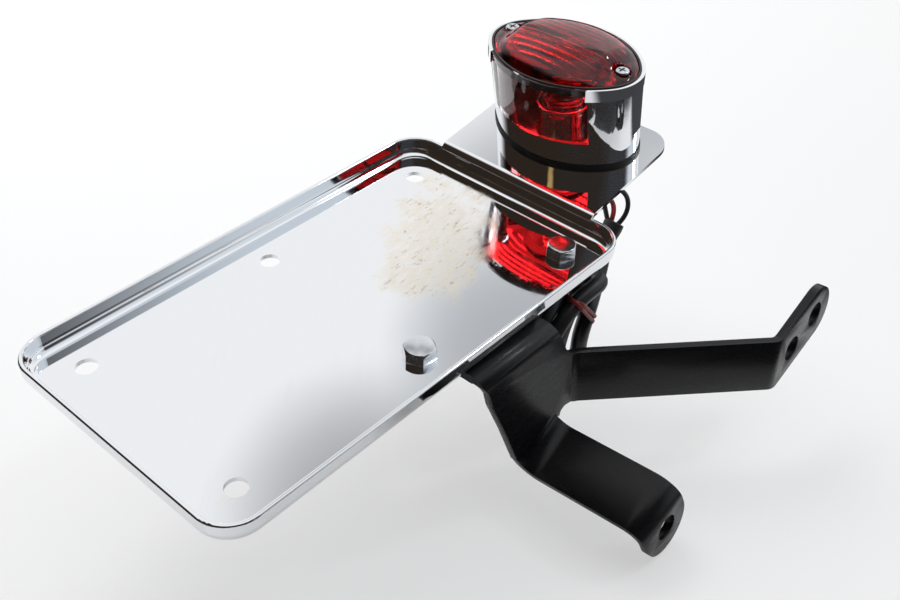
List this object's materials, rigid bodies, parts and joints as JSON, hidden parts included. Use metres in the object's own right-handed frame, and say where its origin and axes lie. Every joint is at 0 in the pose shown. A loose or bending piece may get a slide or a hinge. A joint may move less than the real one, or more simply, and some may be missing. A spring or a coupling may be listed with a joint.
{
  "type": "side mount license plate holder",
  "caption": "Shallow plate tray with a tail lamp on a folded shelf, carried by a forked flat bar bracket that bolts to the side of a motorbike.",
  "frame": {"origin": "centre of the hole in the lower arm's end, on the face that meets the motorbike", "axes": "+X along the tray towards the lamp, +Y away from the motorbike, +Z out of the tray's face; the bracket's end faces lean 5 degrees from the XZ plane"},
  "size_m": [0.2347, 0.1633, 0.1198],
  "materials": {
    "tray_chrome": "mirror bright, with faint dirty smears",
    "bracket_black": "satin black coat",
    "zinc": "bright zinc plate",
    "lamp_chrome": "mirror bright",
    "lens_red": "clear red, moulded prisms inside",
    "window_clear": "clear and smooth",
    "rubber_black": "matt black rubber",
    "reflector_silver": "bright pressed sheet",
    "socket_metal": "plain plated",
    "bulb_glass": "clear glass",
    "lead_red_skin": "red lead skin",
    "lead_black_skin": "black lead skin",
    "sleeve_black": "soft black sleeve",
    "tie_red": "dull red tie"
  },
  "bodies": {
    "root": {"plate_tray": "tray_chrome", "mounting_bracket": "bracket_black", "bracket_bolts": "zinc", "bolt_washers": "zinc", "bolt_nuts": "zinc", "lamp_base_gasket": "rubber_black", "lamp_housing": "lamp_chrome", "plate_light_window": "window_clear", "lens_gasket": "rubber_black", "lamp_lens": "lens_red", "lens_screws": "zinc", "lamp_reflector": "reflector_silver", "bulb_socket": "socket_metal", "bulb": "bulb_glass", "lamp_studs": "zinc", "stud_washers": "zinc", "stud_nuts": "zinc", "wire_grommet": "rubber_black", "lead_red": "lead_red_skin", "lead_black_long": "lead_black_skin", "lead_black_short": "lead_black_skin", "sleeve_collar": "rubber_black", "cable_sleeve": "sleeve_black", "sleeve_hank": "sleeve_black", "hank_tie": "tie_red"}
  },
  "joints": []
}
